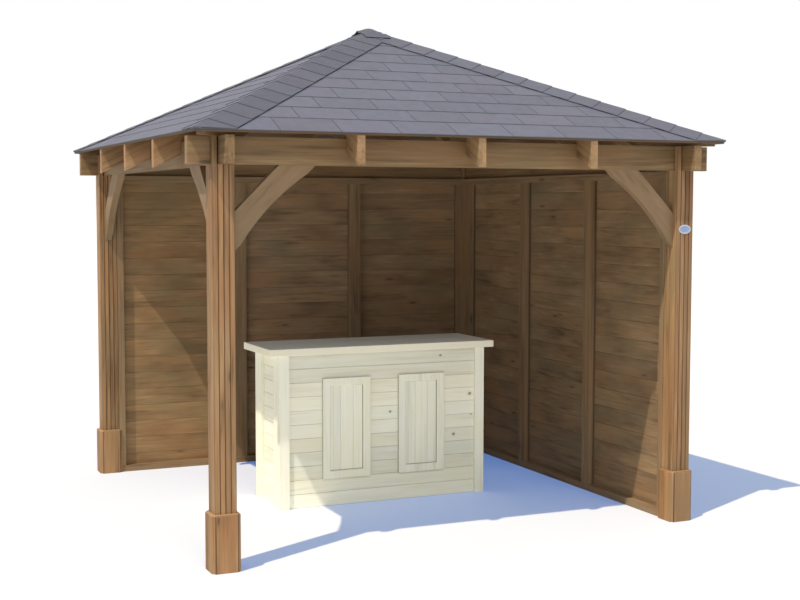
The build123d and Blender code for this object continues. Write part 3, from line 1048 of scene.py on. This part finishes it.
class FinishCounter(bpy.types.Operator):
    """Finishes the top, the corner boards and the inside of the counter"""
    bl_idname = "garden_bar.counter_finish"
    bl_label = "Counter finish"
    bl_options = {"REGISTER", "UNDO"}

    def execute(self, context):
        top = Timber("counter top timber", ALONG_X, TOP_TONES)
        # The top face keeps its tones with their painted reflection of the sky; the upright edges take
        # the edge colour.
        upright = top.normal()[2].size().step(0.7, 0.3)
        top.colour = top.mixed(upright * 0.8, top.colour, top.dye(TOP_EDGE))
        cad_finish("bar_top", top.finished())
        cad_finish("bar_corner_boards", timber("corner board timber", UP, BAR_TONES, 0.2))
        inside = timber("counter frame timber", UP, BAR_TONES, 0.6, variety=0.1, cells=(2.0, 0, 0))
        cad_finish("bar_frame", inside)
        cad_finish("bar_shelf", timber("shelf timber", ALONG_X, BAR_TONES, 0.6))
        return {"FINISHED"}


class MakePlate(bpy.types.Operator):
    """Fixes the bare oval plate to the front right post"""
    bl_idname = "garden_bar.plate"
    bl_label = "Plate"
    bl_options = {"REGISTER", "UNDO"}

    def execute(self, context):
        thick, rim = 0.003, 0.008
        slant, sunk = 0.001, 0.0008
        centre = Vector((1.439, -POST_OUT - thick / 2, 1.786))
        half = Vector((0.043, 0.028, 1.0))
        deselect()
        bpy.ops.mesh.primitive_cylinder_add(vertices=48, radius=1, depth=thick, location=centre,
                                            rotation=(pi / 2, 0, 0))
        plate = named(bpy.context.object, "post_plate")
        plate.scale = half
        settle(plate)
        edit(plate, "FACE", lambda f: f.normal.y < -ALIGNED)
        bpy.ops.mesh.inset(thickness=rim, depth=0)
        bpy.ops.mesh.inset(thickness=slant, depth=-sunk)
        leave()
        hand_in(plate, "post", self.enamel(centre, half.x - rim, half.y - rim))
        return {"FINISHED"}

    def enamel(self, centre, half_length, half_height):
        """A blue oval field in a pale rim."""
        f = Finish("plate enamel")
        away = f.oval(centre, half_length, half_height)
        bloom = f.noise(f.here, evenly(60.0), 2.0)
        blue = f.mixed(bloom.step(0.35, 0.65), f.dye((0.200, 0.275, 0.480)), f.dye((0.240, 0.320, 0.530)))
        colour = f.mixed(away.step(0.96, 1.02), blue, f.dye((0.42, 0.45, 0.47)))
        return f.done(colour, 0.30 + bloom * 0.1, bloom, 0.0002)


class MakeStage(bpy.types.Operator):
    """Sets the floor, the lamps and the camera"""
    bl_idname = "garden_bar.stage"
    bl_label = "Stage"
    bl_options = {"REGISTER", "UNDO"}

    def execute(self, context):
        scene = context.scene
        settings = scene.garden_bar_stage
        floor_width, below_feet = 400, 0.0005
        deselect()
        bpy.ops.mesh.primitive_plane_add(size=floor_width, location=(0, 0, -below_feet))
        floor = named(bpy.context.object, "floor")
        floor.data.materials.append(self.floor_finish())
        self.sky(scene, settings.sky)
        self.lamp("sun", settings.sun)
        self.lamp("fill", settings.fill)
        deselect()
        bpy.ops.object.camera_add(location=CAMERA_PLACE,
                                  rotation=[radians(angle) for angle in CAMERA_TURN])
        camera = bpy.context.object
        camera.data.lens = settings.lens
        camera.data.sensor_width = 36.0
        scene.camera = camera
        scene.view_settings.view_transform = "Standard"
        return {"FINISHED"}

    def lamp(self, name, strength):
        """A lamp like the sun, which shines from its direction."""
        colour, direction, softness = LAMPS[name]
        deselect()
        bpy.ops.object.light_add(type="SUN", location=(-4, -3, 8))
        lamp = named(bpy.context.object, name)
        lamp.data.energy = strength
        lamp.data.color = colour
        lamp.data.angle = radians(softness)
        lamp.rotation_euler = Vector(direction).to_track_quat("Z", "Y").to_euler()

    def floor_finish(self):
        """White where the sun falls and bluish in the shade, with a plain pale bounce."""
        f = Finish("floor")
        f.shade({"Base Color": f.dye(evenly(0.92)), "Roughness": 0.9, "Specular IOR Level": 0.0})
        pale = f.node("ShaderNodeBsdfDiffuse", {}, {"Color": f.dye((0.76, 0.716, 0.546))})
        glow = f.node("ShaderNodeEmission", {}, {"Color": f.dye((0.0, 0.103, 0.377))})
        shown = f.node("ShaderNodeAddShader", {}, {0: pale, 1: glow})
        bounce = Wire(f, f.shader.outputs["BSDF"])
        both = f.node("ShaderNodeMixShader", {}, {0: f.seen(), 1: bounce, 2: shown})
        f.feed(f.tree.nodes["Material Output"].inputs["Surface"], both)
        return f.material

    def sky(self, scene, strength):
        """Even light, and a white background."""
        world = bpy.data.worlds.new("studio")
        scene.world = world
        world.use_nodes = True
        nodes = world.node_tree.nodes
        nodes.remove(nodes["Background"])
        g = Graph(world.node_tree)
        light, white = [g.node("ShaderNodeBackground", {}, {"Color": colour, "Strength": power})
                        for colour, power in (((0.97, 1.0, 1.03, 1.0), strength),
                                              ((1.0, 1.0, 1.0, 1.0), 1.0))]
        both = g.node("ShaderNodeMixShader", {}, {0: g.seen(), 1: light, 2: white})
        g.feed(nodes["World Output"].inputs["Surface"], both)


OPERATORS = (FinishTimber, MakeWallBoards, MakeRoofBoards, MakeShingles, MakeCaps, MakeCounterBoards,
             MakeCounterPanels, FinishCounter, MakePlate, MakeStage)


class GardenBarPanel(bpy.types.Panel):
    """Lists the steps that make the garden bar"""
    bl_idname = "VIEW3D_PT_garden_bar"
    bl_label = "Garden bar"
    bl_space_type = "VIEW_3D"
    bl_region_type = "UI"
    bl_category = "Garden bar"

    def draw(self, context):
        for operator in OPERATORS:
            self.layout.operator(operator.bl_idname)


GROUPS = {"garden_bar_timber": TimberSettings, "garden_bar_walls": WallSettings,
          "garden_bar_roof": RoofSettings, "garden_bar_counter": CounterSettings,
          "garden_bar_stage": StageSettings}
CLASSES = (*GROUPS.values(), *OPERATORS, GardenBarPanel)


def register():
    for cls in CLASSES:
        bpy.utils.register_class(cls)
    for name, group in GROUPS.items():
        setattr(bpy.types.Scene, name, bpy.props.PointerProperty(type=group))


def unregister():
    for name in GROUPS:
        delattr(bpy.types.Scene, name)
    for cls in reversed(CLASSES):
        bpy.utils.unregister_class(cls)


def main():
    register()
    for operator in OPERATORS:
        family, name = operator.bl_idname.split(".")
        getattr(getattr(bpy.ops, family), name)()


if __name__ == "__main__":
    main()
